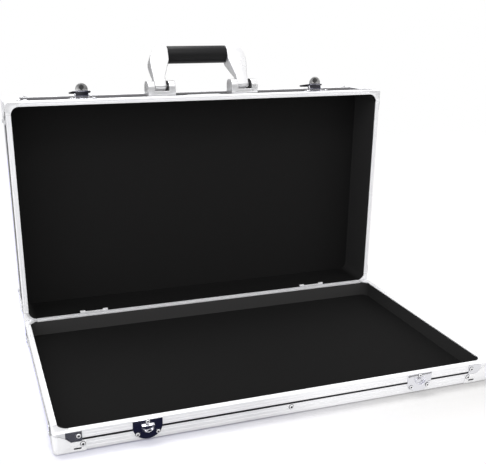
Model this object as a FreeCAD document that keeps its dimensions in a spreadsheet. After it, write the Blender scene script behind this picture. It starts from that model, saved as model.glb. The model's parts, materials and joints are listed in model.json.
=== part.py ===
import FreeCAD, Part
import math
import os
import re
import Sketcher

# Case for guitar pedals: a shallow tray and a deeper lid, each of laminated boards gripped in aluminium.
# Row frame: +X right, +Y back, +Z up, origin on the table under the middle of the open case.
# A half of the case is drawn in its shell frame: rim plane at zero, the shell below it.
# A fitting on the front wall is drawn in its face frame: X right, Y away from the rim, Z out of the wall.

doc = FreeCAD.newDocument("PedalCase")
sheet = doc.addObject("Spreadsheet::Sheet", "Sizes")
vector = FreeCAD.Vector

SIZES = (
    # Case
    ("case_wide", 600), ("case_deep", 338), ("tray_high", 30), ("lid_high", 76), ("rim_gap", 0.4),
    # Boards, lining and skins
    ("board_thick", 4), ("floor_thick", 3), ("skin_thick", 1), ("wall_lining_thick", 2),
    ("floor_lining_thick", 1), ("lining_round", 12),
    # Rim bars
    ("rim_flange", 12), ("rim_web", 1.5), ("rim_round", 1.5), ("rim_groove_wide", 1.2),
    ("rim_groove_deep", 0.5), ("flute_wide", 1), ("flute_deep", 0.3), ("flute_near_share", 0.37),
    ("flute_far_share", 0.68),
    # Edge bars and corner posts
    ("edge_flange", 15.5), ("edge_round", 2), ("post_leg", 24),
    # Corner caps and brackets
    ("cap_thick", 1), ("cap_round", 6), ("cap_edge_round", 3), ("cap_leg", 38.5), ("cap_leg_high", 14.5),
    ("cap_lobe", 25), ("cap_slot_long", 9), ("cap_slot_high", 2.4), ("cap_slot_in", 28), ("cap_slot_up", 5.4),
    ("bracket_leg", 34), ("bracket_high", 15), ("bracket_round", 2.5), ("cap_gap", 0.5),
    # Rivets
    ("rivet_head", 3), ("rivet_rise", 1.3), ("small_rivet_head", 2), ("small_rivet_rise", 0.9),
    ("rivet_top_share", 0.55), ("rivet_from_end", 4), ("cap_rivet_up", 11), ("edge_rivet_up", 10.5),
    # Hinges
    ("hinge_share", 0.637), ("hinge_wide", 44), ("hinge_inset", 2.2), ("hinge_drop", 4.8),
    ("barrel_radius", 3.2), ("pin_radius", 1.25), ("pin_clearance", 0.05), ("barrel_clearance", 0.3),
    ("knuckle_wide", 15.5), ("knuckle_gap", 0.25), ("leaf_thick", 1), ("leaf_high", 22),
    ("leaf_step", 5.6), ("leaf_relief", 0.15), ("lid_open_angle", 91.3),
    ("stop_lug_wide", 8), ("stop_lug_thick", 3), ("stop_thick", 1), ("stop_high", 3), ("stop_drop", 2),
    # Keepers
    ("latch_share", 0.628), ("keeper_wide", 37), ("keeper_top", 1), ("keeper_side", 11), ("keeper_bow", 15.5),
    ("plate_thick", 1.2), ("collar_wide", 15.6), ("collar_top", 7), ("collar_side", 3), ("collar_bow", 7.2),
    ("collar_high", 4.3), ("collar_wall", 1.5), ("keeper_rivet_out", 12.6), ("keeper_rivet_down", 19.5),
    ("keeper_rivet_in", 2.6),
    # Latches
    ("base_wide", 40), ("base_low", 2), ("base_side", 12), ("base_bow", 16), ("lever_pivot_up", 17.5),
    ("lever_pivot_out", 4.5), ("lever_wide", 18.3), ("lever_long", 17.5), ("lever_thick", 1.6),
    ("lever_barrel", 2.2), ("lever_pin_radius", 1), ("ear_thick", 1.2), ("ear_gap", 0.25),
    ("ear_radius", 3.2), ("lever_open_angle", 90), ("lock_down", 11.7), ("lock_radius", 3.2),
    ("lock_flange", 0.8), ("lock_clearance", 0.08), ("tongue_long", 7.4), ("tongue_wide", 3),
    ("tongue_thick", 1), ("key_slot_long", 4), ("key_slot_wide", 0.8),
    # Bails
    ("bail_arm", 5), ("wire_radius", 1.2), ("bail_half", 12.4), ("bail_flare", 15), ("bail_slant_angle", 32),
    ("bail_tip_round", 11),
    ("bail_clearance", 0.2), ("bail_back_angle", 98.5), ("bail_end_in", 2), ("bail_bend", 3),
    # Handle housings and the plate between them
    ("housing_wide", 43), ("housing_deep", 26), ("housing_high", 22), ("ear_top_round", 9), ("slot_wide", 22),
    ("slot_floor", 3), ("slot_lip", 7), ("lip_thick", 3), ("cheek_cover", 6), ("handle_up", 28),
    ("handle_out", 13), ("handle_pin_radius", 2), ("name_plate_wide", 62), ("name_plate_high", 13),
    ("name_plate_lean", 9), ("name_plate_thick", 0.8), ("name_plate_up", 15),
    # Handle
    ("grip_long", 96), ("grip_radius", 13.2), ("grip_up", 54), ("grip_end_bevel", 1.5), ("arm_reach", 19),
    ("arm_foot", 19), ("arm_foot_radius", 5.5), ("arm_neck_up", 17), ("arm_neck_round", 80), ("arm_out", 11),
    ("arm_bulge_up", 32), ("arm_crown_round", 33), ("arm_shoulder", 14), ("arm_inner_up", 14),
    ("arm_collar", 1), ("handle_lean_angle", 35), ("core_radius", 4),
    # Cuts run past the work by this much, and edges this share of a size apart are one
    ("overrun", 5), ("near_share", 0.01),
    # Small round things that repeat are drawn with this many sides
    ("round_sides", 12),
)

for row, (name, amount) in enumerate(SIZES, start=1):
    sheet.set("A%d" % row, name)
    sheet.set("B%d" % row, str(amount))
    sheet.setAlias("B%d" % row, name)
doc.recompute()


def tied(formula):
    """The formula with each size's name pointed at its cell."""
    return re.sub(r"\b([a-z]\w*)\b(?!\()", r"Sizes.\1", formula)


def worth(formula):
    """The formula's value now."""
    return float(sheet.evalExpression(tied(formula)))


def bind(thing, target, formula):
    thing.setExpression(target, tied(formula))


def place(x="0", y="0", z="0", axis=(0, 0, 1), turn="0"):
    """A placement written as a formula."""
    spot = "vector(%s; %s; %s)" % (x, y, z)
    return "placement(%s; rotation(vector(%d; %d; %d); %s))" % ((spot,) + axis + (turn,))


HINGE_Y = "(case_deep / 2 - hinge_inset)"
HINGE_Z = "(tray_high - hinge_drop)"
OPEN_FRONT = "(case_deep / 2 + plate_thick + collar_high)"
OPEN_BACK = ("(%s + (lid_high + rim_gap + hinge_drop) * sin(lid_open_angle)"
             " - (case_deep + cap_thick - hinge_inset) * cos(lid_open_angle))" % HINGE_Y)
CASE = place(y="(%s - %s) / 2" % (OPEN_FRONT, OPEN_BACK))
TRAY = CASE + " * " + place(z="tray_high")
SWING = CASE + " * " + place(y=HINGE_Y, z=HINGE_Z, axis=(1, 0, 0), turn="-lid_open_angle")
LID_CLOSED = SWING + " * " + place(y="-" + HINGE_Y, z="hinge_drop + rim_gap")
LID = LID_CLOSED + " * " + place(axis=(0, 1, 0), turn="180")


def lid_face(x):
    """Face frame on the front wall of the lid."""
    return LID_CLOSED + " * " + place(x=x, y="-case_deep / 2", axis=(1, 0, 0), turn="90")


def new_body(label):
    body = doc.addObject("PartDesign::Body", label.title().replace("_", ""))
    body.Label = label
    return body


def new_sketch(body, plane, lift="0"):
    """A sketch on one of the body's own origin planes, lifted along the plane's normal."""
    support = [item for item in body.Origin.OriginFeatures if item.Role == plane + "_Plane"][0]
    sketch = body.newObject("Sketcher::SketchObject", "Outline")
    sketch.AttachmentSupport = [(support, "")]
    sketch.MapMode = "FlatFace"
    bind(sketch, "AttachmentOffset.Base.z", lift)
    return sketch


def arc_between(start, end, radius):
    """The arc under a half turn from start to end: positive radius turns left, negative right."""
    chord = end - start
    half = chord.Length / 2
    rise = math.sqrt(max(radius * radius - half * half, 0))
    side = vector(-chord.y, chord.x, 0).normalize() * math.copysign(rise, radius)
    centre = start + chord / 2 + side
    first = math.atan2(start.y - centre.y, start.x - centre.x)
    last = math.atan2(end.y - centre.y, end.x - centre.x)
    if radius < 0:
        first, last = last, first
    return Part.ArcOfCircle(Part.Circle(centre, vector(0, 0, 1), abs(radius)), first, last)


def draw(sketch, corners, closed=True):
    """Draws an outline: each corner is (x, y), or (x, y, radius) where an arc arrives at it."""
    first = sketch.GeometryCount
    spots = [vector(worth(corner[0]), worth(corner[1]), 0) for corner in corners]
    count = len(corners) if closed else len(corners) - 1
    rules = []
    formulas = []
    ends = []
    for index in range(count):
        after = (index + 1) % len(corners)
        start, end = spots[index], spots[after]
        if len(corners[after]) == 3:
            radius = worth(corners[after][2])
            sketch.addGeometry(arc_between(start, end, radius), False)
            ends.append((1, 2) if radius > 0 else (2, 1))
            rules.append(Sketcher.Constraint("Radius", first + index, abs(radius)))
            formulas.append("abs(%s)" % corners[after][2])
        else:
            sketch.addGeometry(Part.LineSegment(start, end), False)
            ends.append((1, 2))
    for index in range(count if closed else count - 1):
        after = (index + 1) % count
        rules.append(Sketcher.Constraint("Coincident", first + index, ends[index][1],
                                         first + after, ends[after][0]))
        formulas.append(None)
    for index, corner in enumerate(corners):
        if index < count:
            edge, tip = first + index, ends[index][0]
        else:
            edge, tip = first + index - 1, ends[index - 1][1]
        for kind, formula in (("DistanceX", corner[0]), ("DistanceY", corner[1])):
            rules.append(Sketcher.Constraint(kind, -1, 1, edge, tip, worth(formula)))
            formulas.append(formula)
    fix(sketch, rules, formulas)


def draw_circle(sketch, x, y, radius):
    edge = sketch.GeometryCount
    centre = vector(worth(x), worth(y), 0)
    sketch.addGeometry(Part.Circle(centre, vector(0, 0, 1), worth(radius)), False)
    rules = [Sketcher.Constraint("DistanceX", -1, 1, edge, 3, centre.x),
             Sketcher.Constraint("DistanceY", -1, 1, edge, 3, centre.y),
             Sketcher.Constraint("Radius", edge, worth(radius))]
    fix(sketch, rules, [x, y, radius])


def fix(sketch, rules, formulas):
    """Adds the constraints and ties each measured one to its formula."""
    before = sketch.ConstraintCount
    sketch.addConstraint(rules)
    for index, formula in enumerate(formulas):
        if formula is not None:
            bind(sketch, "Constraints[%d]" % (before + index), formula)


def rectangle(low_x, low_y, high_x, high_y):
    return [(low_x, low_y), (high_x, low_y), (high_x, high_y), (low_x, high_y)]


def pad(body, sketch, length, middle=False, back=False):
    feature = body.newObject("PartDesign::Pad", "Pad")
    feature.Profile = sketch
    bind(feature, "Length", length)
    feature.SideType = "Symmetric" if middle else "One side"
    feature.Reversed = back
    return feature


def pocket(body, sketch, length, middle=False, back=False):
    feature = body.newObject("PartDesign::Pocket", "Pocket")
    feature.Profile = sketch
    bind(feature, "Length", length)
    feature.SideType = "Symmetric" if middle else "One side"
    feature.Reversed = back
    return feature


def outlined(label, plane, corners, length, middle=False, lift="0", back=False):
    """A body padded from one outline."""
    body = new_body(label)
    sketch = new_sketch(body, plane, lift)
    draw(sketch, corners)
    pad(body, sketch, length, middle, back)
    return body


def cut_outline(body, plane, corners, length, middle=True, lift="0"):
    sketch = new_sketch(body, plane, lift)
    draw(sketch, corners)
    pocket(body, sketch, length, middle)


def bore(body, plane, x, y, radius, length, middle=True, lift="0"):
    sketch = new_sketch(body, plane, lift)
    draw_circle(sketch, x, y, radius)
    pocket(body, sketch, length, middle)


def seat(thing, placement):
    bind(thing, "Placement", placement)
    return thing


def flipped(source, axis):
    """The source mirrored across the middle of the case."""
    twin = doc.addObject("Part::Mirroring", "Mirror")
    twin.Source = source
    twin.Normal = axis
    return twin


def gathered(label, things):
    group = doc.addObject("Part::Compound", label.title().replace("_", ""))
    group.Label = label
    group.Links = things
    return group


def made(label, shape):
    """A piece whose shape is made in one go from the sheet's sizes."""
    thing = doc.addObject("Part::Feature", label.title().replace("_", ""))
    thing.Label = label
    thing.Shape = shape
    return thing


# Boards

def long_wall(label, high, front):
    """Front or back board: it runs the full width, its outer ends bevelled under the corner metal."""
    side = "-" if front else ""
    outer = side + "(case_deep / 2 - skin_thick)"
    inner = side + "(case_deep / 2 - skin_thick - board_thick)"
    end = "(case_wide / 2 - skin_thick)"
    bevel = "(cap_round - cap_thick - skin_thick)"
    corners = [("-%s + %s" % (end, bevel), outer), ("%s - %s" % (end, bevel), outer),
               (end, inner), ("-" + end, inner)]
    return outlined(label, "XY", corners, wall_length(high), lift="-rim_web", back=True)


def short_wall(label, high, left):
    side = "-" if left else ""
    near = side + "(case_wide / 2 - skin_thick - board_thick)"
    far = side + "(case_wide / 2 - skin_thick)"
    reach = "(case_deep / 2 - skin_thick - board_thick)"
    return outlined(label, "XY", rectangle(near, "-" + reach, far, reach), wall_length(high),
                    lift="-rim_web", back=True)


def wall_length(high):
    return high + " - cap_thick - skin_thick - rim_web"


def floor_board(label, high):
    corners = inside_walls()
    lift = "-(%s - cap_thick - skin_thick)" % high
    return outlined(label, "XY", corners, "floor_thick", lift=lift)


def inside_walls():
    wide = "(case_wide / 2 - skin_thick - board_thick)"
    deep = "(case_deep / 2 - skin_thick - board_thick)"
    return rectangle("-" + wide, "-" + deep, wide, deep)


# Linings

def floor_lining(label, high):
    lift = "-(%s - cap_thick - skin_thick - floor_thick)" % high
    return outlined(label, "XY", opening_outline(), "floor_lining_thick", lift=lift)


def wall_lining(label, high):
    """A strip of lining round the four walls, with the corners of the opening rounded."""
    length = high + " - cap_thick - skin_thick - floor_thick - rim_web"
    body = outlined(label, "XY", inside_walls(), length, lift="-rim_web", back=True)
    sketch = new_sketch(body, "XY")
    draw(sketch, opening_outline())
    pocket(body, sketch, high)
    return body


def opening_outline():
    wide = "(case_wide / 2 - %s)" % RIM_WIDE
    deep = "(case_deep / 2 - %s)" % RIM_WIDE
    turn = "lining_round"
    return [("-%s + %s" % (wide, turn), "-" + deep), ("%s - %s" % (wide, turn), "-" + deep),
            (wide, "-%s + %s" % (deep, turn), turn), (wide, "%s - %s" % (deep, turn)),
            ("%s - %s" % (wide, turn), deep, turn), ("-%s + %s" % (wide, turn), deep),
            ("-" + wide, "%s - %s" % (deep, turn), turn), ("-" + wide, "-%s + %s" % (deep, turn))]


RIM_WIDE = "(skin_thick + board_thick + wall_lining_thick)"
BRACKET_SEAT = "(%s + lining_round)" % RIM_WIDE


# Aluminium bars

def rim_profile():
    """Section of a rim bar: Y runs out of the case from its outer face, Z up from the rim plane."""
    middle = "(%s / 2)" % RIM_WIDE
    corners = [("-skin_thick", "-rim_flange"), ("0", "-rim_flange")]
    for share in ("flute_far_share", "flute_near_share"):
        level = "rim_flange * " + share
        corners += [("0", "-%s - flute_wide / 2" % level), ("-flute_deep", "-" + level),
                    ("0", "-%s + flute_wide / 2" % level)]
    corners += [("0", "-rim_round"), ("-rim_round", "0", "rim_round"),
                ("-%s + rim_groove_wide / 2" % middle, "0"),
                ("-" + middle, "-rim_groove_deep"),
                ("-%s - rim_groove_wide / 2" % middle, "0"),
                ("-" + RIM_WIDE, "0"), ("-" + RIM_WIDE, "-rim_web"), ("-skin_thick", "-rim_web")]
    return corners


def edge_profile():
    """Section of an edge bar: Y out from the outer face of the case, Z up from the bar's underside."""
    corners = [("-edge_flange", "0"), ("-edge_round", "0"), ("0", "edge_round", "edge_round")]
    for share in ("flute_near_share", "flute_far_share"):
        level = "edge_flange * " + share
        corners += [("0", "%s - flute_wide / 2" % level), ("-flute_deep", level),
                    ("0", "%s + flute_wide / 2" % level)]
    corners += [("0", "edge_flange"), ("-skin_thick", "edge_flange"), ("-skin_thick", "skin_thick"),
                ("-edge_flange", "skin_thick")]
    return corners


def bar(label, profile, length):
    return outlined(label, "YZ", profile, length, middle=True)


def rim_bar(label, half, side):
    """One rim bar, from corner bracket to corner bracket."""
    span, out, turn = SIDES[side]
    body = bar(label, rim_profile(), "%s - 2 * %s" % (span, BRACKET_SEAT))
    x = "%s * %s / 2" % (out[0], "case_wide")
    y = "%s * %s / 2" % (out[1], "case_deep")
    return seat(body, half + " * " + place(x=x, y=y, turn=turn))


def edge_bar(side, high):
    span, out, turn = SIDES[side]
    ends = "edge_flange" if span == "case_deep" else "(cap_round - cap_thick)"
    body = bar("edge_bar_" + side, edge_profile(), "%s - 2 * %s" % (span, ends))
    x = "%s * %s / 2" % (out[0], "case_wide")
    y = "%s * %s / 2" % (out[1], "case_deep")
    return seat(body, place(x=x, y=y, z="-(%s - cap_thick)" % high, turn=turn))


SIDES = {
    "back": ("case_wide", (0, 1), "0"),
    "left": ("case_deep", (-1, 0), "90"),
    "front": ("case_wide", (0, -1), "180"),
    "right": ("case_deep", (1, 0), "270"),
}


def corner_posts():
    """Angle sections over the four upright corners of the lid, between its rim and its edge bars."""
    high = "lid_high - cap_thick - edge_flange - rim_flange"
    turn = "(cap_round - cap_thick)"
    corner_x = "-case_wide / 2"
    corner_y = "-case_deep / 2"
    corners = [(corner_x + " + post_leg", corner_y),
               (corner_x + " + post_leg", corner_y + " + skin_thick"),
               ("%s + %s" % (corner_x, turn), corner_y + " + skin_thick"),
               (corner_x + " + skin_thick", "%s + %s" % (corner_y, turn), "skin_thick - " + turn),
               (corner_x + " + skin_thick", corner_y + " + post_leg"),
               (corner_x, corner_y + " + post_leg"),
               (corner_x, "%s + %s" % (corner_y, turn)),
               ("%s + %s" % (corner_x, turn), corner_y, turn)]
    post = outlined("corner_post", "XY", corners, high, lift="-rim_flange", back=True)
    return four_ways("lid_corner_posts", post, LID)


def four_ways(label, piece, half):
    """The front left piece and its mirror images at the other three corners."""
    right = flipped(piece, vector(1, 0, 0))
    back = flipped(piece, vector(0, 1, 0))
    far = flipped(right, vector(0, 1, 0))
    return seat(gathered(label, [piece, right, back, far]), half)


# Corner metal

def corner_block(inset, bottom, top, reach, upright, level, rounded_top):
    """A block on the front left corner with its upright edge and two level edges rounded."""
    low_x = -worth("case_wide") / 2 - worth("cap_thick") + inset
    low_y = -worth("case_deep") / 2 - worth("cap_thick") + inset
    block = Part.makeBox(reach, reach, top - bottom, vector(low_x, low_y, bottom))
    tight = worth("skin_thick * near_share")
    edges = []
    for edge in block.Edges:
        spot = edge.CenterOfMass
        on_x = abs(spot.x - low_x) < tight
        on_y = abs(spot.y - low_y) < tight
        if on_x and on_y:
            edges.append((edge, upright))
        elif (on_x or on_y) and abs(spot.z - (top if rounded_top else bottom)) < tight and level > 0:
            edges.append((edge, level))
    for radius in sorted({radius for edge, radius in edges}, reverse=True):
        chosen = [edge for edge, size in edges if size == radius]
        block = round_near(block, chosen, radius)
    return block


def round_near(block, wanted, radius):
    """Rounds the block's edges that lie along the wanted ones."""
    picked = []
    for edge in block.Edges:
        for old in wanted:
            if edge.distToShape(Part.Vertex(old.CenterOfMass))[0] < radius * worth("near_share"):
                picked.append(edge)
    return block.makeFillet(radius, picked)


def edge_cap(label, high, half):
    """Pressed ball corner: a round lobe and two legs on each of its three faces."""
    thick = worth("cap_thick")
    lobe = worth("cap_lobe")
    leg = worth("cap_leg")
    bottom = -worth(high)
    upright = worth("cap_round")
    level = worth("cap_edge_round")
    outer = corner_block(0, bottom, bottom + lobe, leg, upright, level, False)
    inner = corner_block(thick, bottom + thick, bottom + lobe * 2, leg * 2, upright - thick,
                         level - thick, False)
    shell = outer.cut(inner)
    low_x = -worth("case_wide") / 2 - thick
    low_y = -worth("case_deep") / 2 - thick
    deep = worth("cap_round")
    rise = worth("cap_leg_high")
    corner = vector(low_x, low_y, bottom)
    legs = [Part.makeBox(leg, rise, rise, corner), Part.makeBox(rise, leg, rise, corner)]
    discs = [Part.makeCylinder(lobe, deep, corner, vector(0, 1, 0)),
             Part.makeCylinder(lobe, deep, corner, vector(1, 0, 0)),
             Part.makeCylinder(lobe, deep, corner, vector(0, 0, 1))]
    keep = legs[0].multiFuse(legs[1:] + discs)
    slots = [oblong(corner, vector(1, 0, 0)), oblong(corner, vector(0, 1, 0))]
    cap = made("corner_cap", shell.common(keep).cut(slots[0].fuse(slots[1])).removeSplitter())
    return four_ways(label, cap, half)


def oblong(corner, along):
    """The slot near the end of a cap's leg, as a solid through the leg that runs along this way."""
    half = worth("cap_slot_high / 2")
    reach = worth("cap_slot_long / 2")
    blunt = half / 2
    centre = corner + along * worth("cap_slot_in") + vector(0, 0, worth("cap_slot_up"))
    spots = ((-reach, -blunt), (blunt - reach, -half), (reach - blunt, -half), (reach, -blunt),
             (reach, blunt), (reach - blunt, half), (blunt - reach, half), (-reach, blunt))
    points = [centre + along * across + vector(0, 0, up) for across, up in spots]
    through = vector(along.y, along.x, 0)
    return Part.Face(Part.makePolygon(points + points[:1])).extrude(through * worth("cap_round"))


def rim_bracket(label, half):
    """Upper corner bracket: two legs over the rim bars and a plate that closes the corner of the rim."""
    thick = worth("cap_thick")
    high = worth("bracket_high")
    leg = worth("bracket_leg")
    upright = worth("cap_round")
    web = worth("rim_web")
    outer = corner_block(0, -high, 0, leg, upright, worth("bracket_round"), True)
    inner = corner_block(thick, -high * 2, high, leg * 2, upright - thick, 0, True)
    legs = outer.cut(inner)
    seat_size = worth(BRACKET_SEAT)
    low_x = -worth("case_wide") / 2
    low_y = -worth("case_deep") / 2
    slab = Part.makeBox(seat_size + thick, seat_size + thick, web,
                        vector(low_x - thick, low_y - thick, -web)).common(outer)
    hole = Part.makeCylinder(worth("lining_round"), web * 4,
                             vector(low_x + seat_size, low_y + seat_size, -web * 2))
    plate = slab.cut(hole)
    lobe = worth("cap_lobe + cap_gap")
    low = vector(low_x - thick, low_y - thick, -worth("tray_high"))
    piece = legs.fuse(plate)
    for axis in (vector(0, 1, 0), vector(1, 0, 0)):
        piece = piece.cut(Part.makeCylinder(lobe, upright, low, axis))
    bracket = made("rim_bracket", piece.removeSplitter())
    return four_ways(label, bracket, half)


# Rivets

def rivet(spot, out, small=False):
    """A rivet head standing on spot, facing out, narrower at its top."""
    head = worth("small_rivet_head" if small else "rivet_head")
    rise = worth("small_rivet_rise" if small else "rivet_rise")
    base = ring(spot, out, head)
    top = ring(spot + out * rise, out, head * worth("rivet_top_share"))
    return Part.makeLoft([base, top], True, True)


def ring(centre, facing, radius):
    """A closed outline of equal sides about centre, which stands for a small circle."""
    count = int(worth("round_sides"))
    turns = [2 * math.pi * index / count for index in range(count)]
    points = [vector(radius * math.cos(turn), radius * math.sin(turn), 0) for turn in turns]
    outline = Part.makePolygon(points + points[:1])
    outline.Placement = FreeCAD.Placement(centre, FreeCAD.Rotation(vector(0, 0, 1), facing))
    return outline


def corner_rivets(high):
    """Rivets of the caps and brackets at the four corners, two to a leg pair on the long and short walls."""
    heads = []
    wide = worth("case_wide / 2")
    deep = worth("case_deep / 2")
    proud = worth("cap_thick")
    rows = ((worth("bracket_leg - rivet_from_end - cap_thick"), -worth("bracket_high / 2")),
            (worth("cap_leg - rivet_from_end - cap_thick"), -worth(high) + worth("cap_rivet_up")))
    for from_corner, level in rows:
        for x_side in (-1, 1):
            for y_side in (-1, 1):
                x = x_side * (wide - from_corner)
                y = y_side * (deep - from_corner)
                heads.append(rivet(vector(x, y_side * (deep + proud), level), vector(0, y_side, 0)))
                heads.append(rivet(vector(x_side * (wide + proud), y, level), vector(x_side, 0, 0)))
    return heads


def leaf_rivets(rise):
    """Rivets of the hinge leaves, three to a leaf; the hinge line is this far above the rim plane."""
    heads = []
    low = worth("leaf_step + rivet_head + skin_thick")
    high = worth("leaf_high - rivet_head - skin_thick")
    side = worth("hinge_wide / 2 - rivet_head - skin_thick")
    y = worth("case_deep / 2 + leaf_thick")
    for x in (-worth(hinge_x("")), worth(hinge_x(""))):
        for across, down in ((-side, low), (side, low), (0, high)):
            spot = vector(x + across, y, rise - down)
            heads.append(rivet(spot, vector(0, 1, 0), small=True))
    return heads


def tray_rivets():
    heads = corner_rivets("tray_high")
    heads += leaf_rivets(-worth("hinge_drop"))
    out = vector(0, -1, 0)
    y = -worth("case_deep / 2")
    heads.append(rivet(vector(0, y, -worth("tray_high - cap_thick - edge_rivet_up")), out))
    for x in (-worth(latch_x("")), worth(latch_x(""))):
        for side in (-1, 1):
            spot = vector(x + side * worth("keeper_rivet_out"), y - worth("plate_thick"),
                          -worth("keeper_rivet_down"))
            heads.append(rivet(spot, out, small=True))
        top = vector(x, y - worth("plate_thick"), -worth("keeper_top + keeper_rivet_in"))
        heads.append(rivet(top, out, small=True))
    return seat(made("tray_rivets", Part.makeCompound(heads)), TRAY)


def lid_rivets():
    heads = corner_rivets("lid_high")
    heads += leaf_rivets(worth("hinge_drop + rim_gap"))
    out = vector(0, -1, 0)
    y = -worth("case_deep / 2 + plate_thick")
    for x in (-worth(latch_x("")), worth(latch_x(""))):
        for side in (-1, 1):
            across = side * worth("base_wide / 2 - 2 * small_rivet_head")
            heads.append(rivet(vector(x + across, y, -worth("base_low + base_side / 2")), out, small=True))
        top = vector(x, y, -worth("base_low + base_side + base_bow - 2 * small_rivet_head"))
        heads.append(rivet(top, out, small=True))
    return seat(made("lid_rivets", Part.makeCompound(heads)), LID)


# Hinges

def hinge_x(side):
    return side + "case_wide * hinge_share / 2"


def tray_hinge_frame(side):
    return CASE + " * " + place(x=hinge_x(side), y=HINGE_Y, z=HINGE_Z)


def lid_hinge_frame(side):
    return SWING + " * " + place(x=hinge_x(side))


def hinge_notch(body):
    """Room for the two hinge barrels in the back of the tray."""
    for side in ("", "-"):
        bore(body, "YZ", HINGE_Y, "-hinge_drop", "barrel_radius + barrel_clearance",
             "hinge_wide + 2 * barrel_clearance", lift=hinge_x(side))


def lower_leaf(label, side):
    """Leaf on the back of the tray, with the two outer knuckles."""
    body = new_body(label)
    barrel = new_sketch(body, "YZ")
    draw_circle(barrel, "0", "0", "barrel_radius")
    pad(body, barrel, "hinge_wide", middle=True)
    plate = new_sketch(body, "YZ")
    draw(plate, rectangle("hinge_inset", "-leaf_high", "hinge_inset + leaf_thick", "0"))
    pad(body, plate, "hinge_wide", middle=True)
    reach = "(barrel_radius + overrun)"
    cut_outline(body, "YZ", rectangle("-" + reach, "-leaf_step", reach, reach),
                "knuckle_wide + 2 * knuckle_gap")
    bore(body, "YZ", "0", "0", "pin_radius + pin_clearance", "hinge_wide + overrun")
    return seat(body, tray_hinge_frame(side))


def upper_leaf(label, side):
    """Leaf on the back of the lid, with the middle knuckle."""
    body = new_body(label)
    barrel = new_sketch(body, "YZ")
    draw_circle(barrel, "0", "0", "barrel_radius")
    pad(body, barrel, "knuckle_wide", middle=True)
    tab = new_sketch(body, "YZ")
    draw(tab, rectangle("hinge_inset + leaf_relief", "0", "hinge_inset + leaf_thick",
                        "leaf_step + leaf_thick"))
    pad(body, tab, "knuckle_wide", middle=True)
    plate = new_sketch(body, "YZ")
    draw(plate, rectangle("hinge_inset", "leaf_step", "hinge_inset + leaf_thick", "leaf_high"))
    pad(body, plate, "hinge_wide", middle=True)
    bore(body, "YZ", "0", "0", "pin_radius + pin_clearance", "hinge_wide + overrun")
    return seat(body, lid_hinge_frame(side))


def hinge_pins():
    pins = []
    for side in ("", "-"):
        pin = doc.addObject("Part::Cylinder", "HingePin")
        bind(pin, "Radius", "pin_radius")
        bind(pin, "Height", "hinge_wide")
        start = "%s - hinge_wide / 2" % hinge_x(side)
        seat(pin, CASE + " * " + place(x=start, y=HINGE_Y, z=HINGE_Z, axis=(0, 1, 0), turn="90"))
        pins.append(pin)
    return gathered("hinge_pins", pins)


def hinge_stops():
    """Small stop brackets inside the lid, just behind its rim: a thin strip with two raised ends."""
    stops = []
    for side in ("", "-"):
        body = new_body("hinge_stop")
        strip = new_sketch(body, "XZ")
        draw(strip, rectangle("-hinge_wide / 2", "-stop_drop - stop_high", "hinge_wide / 2", "-stop_drop"))
        pad(body, strip, "stop_thick")
        for low, high in (("-hinge_wide / 2", "-hinge_wide / 2 + stop_lug_wide"),
                          ("hinge_wide / 2 - stop_lug_wide", "hinge_wide / 2")):
            lug = new_sketch(body, "XZ")
            draw(lug, rectangle(low, "-stop_drop - stop_high", high, "-stop_drop"))
            pad(body, lug, "stop_lug_thick")
        seat(body, place(x=hinge_x(side), y="case_deep / 2 - " + RIM_WIDE))
        stops.append(body)
    return seat(gathered("hinge_stops", stops), LID)


# Keepers and latches

def latch_x(side):
    return side + "case_wide * latch_share / 2"


def bow_radius(wide, bow):
    return "((%s * %s / 4 + %s * %s) / (2 * %s))" % (wide, wide, bow, bow, bow)


def bowed(wide, start, side, bow, way):
    """A plate outline with a straight edge at start, straight sides and a bowed far edge, up or down."""
    far = "%s %s %s" % (start, way, side)
    left, right = "-%s / 2" % wide, "%s / 2" % wide
    first, second = (left, right) if way == "+" else (right, left)
    return [(first, start), (second, start), (second, far), (first, far, bow_radius(wide, bow))]


def keeper(label, side):
    """Catch plate on the front of the tray: its raised collar takes the bail."""
    body = outlined(label, "XY", bowed("keeper_wide", "-keeper_top", "keeper_side", "keeper_bow", "-"),
                    "plate_thick")
    collar = new_sketch(body, "XY")
    draw(collar, bowed("collar_wide", "-collar_top", "collar_side", "collar_bow", "-"))
    pad(body, collar, "plate_thick + collar_high")
    well = new_sketch(body, "XY", lift="plate_thick + collar_high")
    draw(well, bowed("(collar_wide - 2 * collar_wall)", "(-collar_top - collar_wall)",
                     "(collar_side - collar_wall)", "(collar_bow - collar_wall)", "-"))
    pocket(body, well, "collar_high")
    return seat(body, TRAY + " * " + place(x=latch_x(side), y="-case_deep / 2", axis=(1, 0, 0), turn="90"))


def latch_base(label, side):
    """Latch plate on the front of the lid, with two ears for the lever's pin."""
    body = outlined(label, "XY", bowed("base_wide", "base_low", "base_side", "base_bow", "+"), "plate_thick")
    inner = "(lever_wide / 2 + ear_gap)"
    for sign in ("", "-"):
        ear = new_sketch(body, "YZ", lift="%s(%s + ear_thick / 2)" % (sign, inner))
        up, out = "lever_pivot_up", "lever_pivot_out"
        draw(ear, [("%s - ear_radius" % up, "0"), ("%s + ear_radius" % up, "0"),
                   ("%s + ear_radius" % up, out), (up, "%s + ear_radius" % out, "ear_radius"),
                   ("%s - ear_radius" % up, out, "ear_radius")])
        pad(body, ear, "ear_thick", middle=True)
    bore(body, "YZ", "lever_pivot_up", "lever_pivot_out", "lever_pin_radius + pin_clearance",
         "base_wide")
    return seat(body, lid_face(latch_x(side)))


def lever_frame(side):
    return (lid_face(latch_x(side)) + " * "
            + place(y="lever_pivot_up", z="lever_pivot_out", axis=(1, 0, 0), turn="-lever_open_angle"))


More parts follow.
